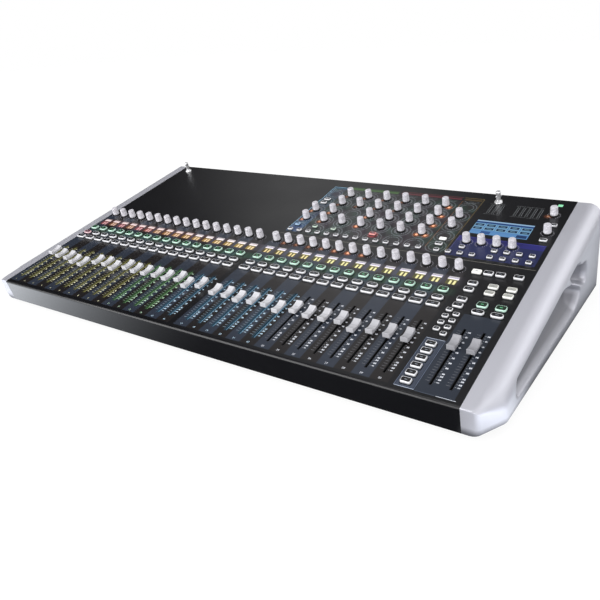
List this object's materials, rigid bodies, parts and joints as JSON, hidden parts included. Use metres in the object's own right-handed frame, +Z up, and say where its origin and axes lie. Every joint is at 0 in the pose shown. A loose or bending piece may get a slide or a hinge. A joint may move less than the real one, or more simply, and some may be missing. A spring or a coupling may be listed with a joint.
{
  "type": "mixing console",
  "caption": "Sloping digital mixing console with motorised channel faders, encoder knobs, lit keys, a small screen, rear sockets and silver end cheeks with hand grooves.",
  "frame": {"origin": "middle of the case on the table, under the rubber feet", "axes": "+X to the user's right along the case, +Y from the user to the rear, +Z up"},
  "size_m": [0.966, 0.5324, 0.178],
  "materials": {
    "panel_paint": "satin black powder coat",
    "tray_paint": "satin black powder coat",
    "cheek_silver": "silver metallic paint",
    "foot_rubber": "matt",
    "black_steel": "black oxide",
    "screen_glass": "polished",
    "plated_metal": "polished",
    "plated_steel": "zinc plated",
    "lens_plastic": "tinted clear",
    "circuit_board": "solder mask",
    "supply_case": "folded sheet",
    "socket_plastic": "moulded black",
    "knob_plastic": "soft-touch grey",
    "key_plastic": "translucent white",
    "cap_plastic": "satin off-white"
  },
  "bodies": {
    "console": {"control_panel": "panel_paint", "base_tray": "tray_paint", "rear_panel": "panel_paint", "left_cheek": "cheek_silver", "right_cheek": "cheek_silver", "rubber_feet": "foot_rubber", "case_screws": "black_steel", "display_module": "screen_glass", "lamp_sockets": "plated_metal", "fader_units": "plated_steel", "indicator_lenses": "lens_plastic", "control_board": "circuit_board", "main_board": "circuit_board", "power_supply": "supply_case", "mains_inlet": "socket_plastic", "input_sockets": "socket_plastic", "output_sockets": "socket_plastic", "channel_knobs": "knob_plastic", "section_knobs": "knob_plastic"},
    "on_key_bank": {"on_keys": "key_plastic"},
    "solo_key_bank": {"solo_keys": "key_plastic"},
    "select_key_bank": {"select_keys": "key_plastic"},
    "section_key_bank": {"section_keys": "key_plastic"},
    "master_key_bank": {"master_keys": "key_plastic"},
    "screen_encoder_1": {"screen_knob_1": "knob_plastic"},
    "screen_encoder_2": {"screen_knob_2": "knob_plastic"},
    "screen_encoder_3": {"screen_knob_3": "knob_plastic"},
    "screen_encoder_4": {"screen_knob_4": "knob_plastic"},
    "fader_01_slider": {"fader_01": "cap_plastic"},
    "fader_02_slider": {"fader_02": "cap_plastic"},
    "fader_03_slider": {"fader_03": "cap_plastic"},
    "fader_04_slider": {"fader_04": "cap_plastic"},
    "fader_05_slider": {"fader_05": "cap_plastic"},
    "fader_06_slider": {"fader_06": "cap_plastic"},
    "fader_07_slider": {"fader_07": "cap_plastic"},
    "fader_08_slider": {"fader_08": "cap_plastic"},
    "fader_09_slider": {"fader_09": "cap_plastic"},
    "fader_10_slider": {"fader_10": "cap_plastic"},
    "fader_11_slider": {"fader_11": "cap_plastic"},
    "fader_12_slider": {"fader_12": "cap_plastic"},
    "fader_13_slider": {"fader_13": "cap_plastic"},
    "fader_14_slider": {"fader_14": "cap_plastic"},
    "fader_15_slider": {"fader_15": "cap_plastic"},
    "fader_16_slider": {"fader_16": "cap_plastic"},
    "fader_17_slider": {"fader_17": "cap_plastic"},
    "fader_18_slider": {"fader_18": "cap_plastic"},
    "fader_19_slider": {"fader_19": "cap_plastic"},
    "fader_20_slider": {"fader_20": "cap_plastic"},
    "fader_21_slider": {"fader_21": "cap_plastic"},
    "fader_22_slider": {"fader_22": "cap_plastic"},
    "fader_23_slider": {"fader_23": "cap_plastic"},
    "fader_24_slider": {"fader_24": "cap_plastic"},
    "fader_25_slider": {"fader_25": "cap_plastic"},
    "fader_26_slider": {"fader_26": "cap_plastic"},
    "fader_27_slider": {"fader_27": "cap_plastic"},
    "fader_28_slider": {"fader_28": "cap_plastic"},
    "fader_29_slider": {"fader_29": "cap_plastic"},
    "fader_30_slider": {"fader_30": "cap_plastic"},
    "fader_main_left_slider": {"fader_main_left": "cap_plastic"},
    "fader_main_right_slider": {"fader_main_right": "cap_plastic"}
  },
  "joints": [
    {"name": "button_on_press", "type": "slide", "parent": "console", "child": "on_key_bank", "axis": [0, -0.225, 0.9744], "range_m": [-0.001, 0], "stiffness_N_per_m": 1000, "springref_m": 0.003},
    {"name": "button_solo_press", "type": "slide", "parent": "console", "child": "solo_key_bank", "axis": [0, -0.225, 0.9744], "range_m": [-0.001, 0], "stiffness_N_per_m": 1000, "springref_m": 0.003},
    {"name": "button_select_press", "type": "slide", "parent": "console", "child": "select_key_bank", "axis": [0, -0.225, 0.9744], "range_m": [-0.001, 0], "stiffness_N_per_m": 1000, "springref_m": 0.003},
    {"name": "button_section_press", "type": "slide", "parent": "console", "child": "section_key_bank", "axis": [0, -0.225, 0.9744], "range_m": [-0.001, 0], "stiffness_N_per_m": 1000, "springref_m": 0.003},
    {"name": "button_master_press", "type": "slide", "parent": "console", "child": "master_key_bank", "axis": [0, -0.225, 0.9744], "range_m": [-0.001, 0], "stiffness_N_per_m": 1000, "springref_m": 0.003},
    {"name": "encoder_1_turn", "type": "hinge", "parent": "console", "child": "screen_encoder_1", "pos_m": [0.3165, 0.06858, 0.12436], "axis": [0, -0.225, 0.9744], "continuous": true},
    {"name": "encoder_2_turn", "type": "hinge", "parent": "console", "child": "screen_encoder_2", "pos_m": [0.3407, 0.06858, 0.12436], "axis": [0, -0.225, 0.9744], "continuous": true},
    {"name": "encoder_3_turn", "type": "hinge", "parent": "console", "child": "screen_encoder_3", "pos_m": [0.3649, 0.06858, 0.12436], "axis": [0, -0.225, 0.9744], "continuous": true},
    {"name": "encoder_4_turn", "type": "hinge", "parent": "console", "child": "screen_encoder_4", "pos_m": [0.3891, 0.06858, 0.12436], "axis": [0, -0.225, 0.9744], "continuous": true},
    {"name": "fader_01_slide", "type": "slide", "parent": "console", "child": "fader_01_slider", "axis": [0, 0.9744, 0.225], "range_m": [-0.078, 0.022]},
    {"name": "fader_02_slide", "type": "slide", "parent": "console", "child": "fader_02_slider", "axis": [0, 0.9744, 0.225], "range_m": [-0.073, 0.027]},
    {"name": "fader_03_slide", "type": "slide", "parent": "console", "child": "fader_03_slider", "axis": [0, 0.9744, 0.225], "range_m": [-0.072, 0.028]},
    {"name": "fader_04_slide", "type": "slide", "parent": "console", "child": "fader_04_slider", "axis": [0, 0.9744, 0.225], "range_m": [-0.065, 0.035]},
    {"name": "fader_05_slide", "type": "slide", "parent": "console", "child": "fader_05_slider", "axis": [0, 0.9744, 0.225], "range_m": [-0.063, 0.037]},
    {"name": "fader_06_slide", "type": "slide", "parent": "console", "child": "fader_06_slider", "axis": [0, 0.9744, 0.225], "range_m": [-0.077, 0.023]},
    {"name": "fader_07_slide", "type": "slide", "parent": "console", "child": "fader_07_slider", "axis": [0, 0.9744, 0.225], "range_m": [-0.078, 0.022]},
    {"name": "fader_08_slide", "type": "slide", "parent": "console", "child": "fader_08_slider", "axis": [0, 0.9744, 0.225], "range_m": [-0.071, 0.029]},
    {"name": "fader_09_slide", "type": "slide", "parent": "console", "child": "fader_09_slider", "axis": [0, 0.9744, 0.225], "range_m": [-0.081, 0.019]},
    {"name": "fader_10_slide", "type": "slide", "parent": "console", "child": "fader_10_slider", "axis": [0, 0.9744, 0.225], "range_m": [-0.077, 0.023]},
    {"name": "fader_11_slide", "type": "slide", "parent": "console", "child": "fader_11_slider", "axis": [0, 0.9744, 0.225], "range_m": [-0.077, 0.023]},
    {"name": "fader_12_slide", "type": "slide", "parent": "console", "child": "fader_12_slider", "axis": [0, 0.9744, 0.225], "range_m": [-0.078, 0.022]},
    {"name": "fader_13_slide", "type": "slide", "parent": "console", "child": "fader_13_slider", "axis": [0, 0.9744, 0.225], "range_m": [-0.076, 0.024]},
    {"name": "fader_14_slide", "type": "slide", "parent": "console", "child": "fader_14_slider", "axis": [0, 0.9744, 0.225], "range_m": [-0.08, 0.02]},
    {"name": "fader_15_slide", "type": "slide", "parent": "console", "child": "fader_15_slider", "axis": [0, 0.9744, 0.225], "range_m": [-0.069, 0.031]},
    {"name": "fader_16_slide", "type": "slide", "parent": "console", "child": "fader_16_slider", "axis": [0, 0.9744, 0.225], "range_m": [-0.076, 0.024]},
    {"name": "fader_17_slide", "type": "slide", "parent": "console", "child": "fader_17_slider", "axis": [0, 0.9744, 0.225], "range_m": [-0.068, 0.032]},
    {"name": "fader_18_slide", "type": "slide", "parent": "console", "child": "fader_18_slider", "axis": [0, 0.9744, 0.225], "range_m": [-0.068, 0.032]},
    {"name": "fader_19_slide", "type": "slide", "parent": "console", "child": "fader_19_slider", "axis": [0, 0.9744, 0.225], "range_m": [-0.064, 0.036]},
    {"name": "fader_20_slide", "type": "slide", "parent": "console", "child": "fader_20_slider", "axis": [0, 0.9744, 0.225], "range_m": [-0.067, 0.033]},
    {"name": "fader_21_slide", "type": "slide", "parent": "console", "child": "fader_21_slider", "axis": [0, 0.9744, 0.225], "range_m": [-0.068, 0.032]},
    {"name": "fader_22_slide", "type": "slide", "parent": "console", "child": "fader_22_slider", "axis": [0, 0.9744, 0.225], "range_m": [-0.061, 0.039]},
    {"name": "fader_23_slide", "type": "slide", "parent": "console", "child": "fader_23_slider", "axis": [0, 0.9744, 0.225], "range_m": [-0.069, 0.031]},
    {"name": "fader_24_slide", "type": "slide", "parent": "console", "child": "fader_24_slider", "axis": [0, 0.9744, 0.225], "range_m": [-0.065, 0.035]},
    {"name": "fader_25_slide", "type": "slide", "parent": "console", "child": "fader_25_slider", "axis": [0, 0.9744, 0.225], "range_m": [-0.066, 0.034]},
    {"name": "fader_26_slide", "type": "slide", "parent": "console", "child": "fader_26_slider", "axis": [0, 0.9744, 0.225], "range_m": [-0.068, 0.032]},
    {"name": "fader_27_slide", "type": "slide", "parent": "console", "child": "fader_27_slider", "axis": [0, 0.9744, 0.225], "range_m": [-0.058, 0.042]},
    {"name": "fader_28_slide", "type": "slide", "parent": "console", "child": "fader_28_slider", "axis": [0, 0.9744, 0.225], "range_m": [-0.064, 0.036]},
    {"name": "fader_29_slide", "type": "slide", "parent": "console", "child": "fader_29_slider", "axis": [0, 0.9744, 0.225], "range_m": [-0.064, 0.036]},
    {"name": "fader_30_slide", "type": "slide", "parent": "console", "child": "fader_30_slider", "axis": [0, 0.9744, 0.225], "range_m": [-0.064, 0.036]},
    {"name": "fader_main_left_slide", "type": "slide", "parent": "console", "child": "fader_main_left_slider", "axis": [0, 0.9744, 0.225], "range_m": [-0.069, 0.031]},
    {"name": "fader_main_right_slide", "type": "slide", "parent": "console", "child": "fader_main_right_slider", "axis": [0, 0.9744, 0.225], "range_m": [-0.069, 0.031]}
  ]
}
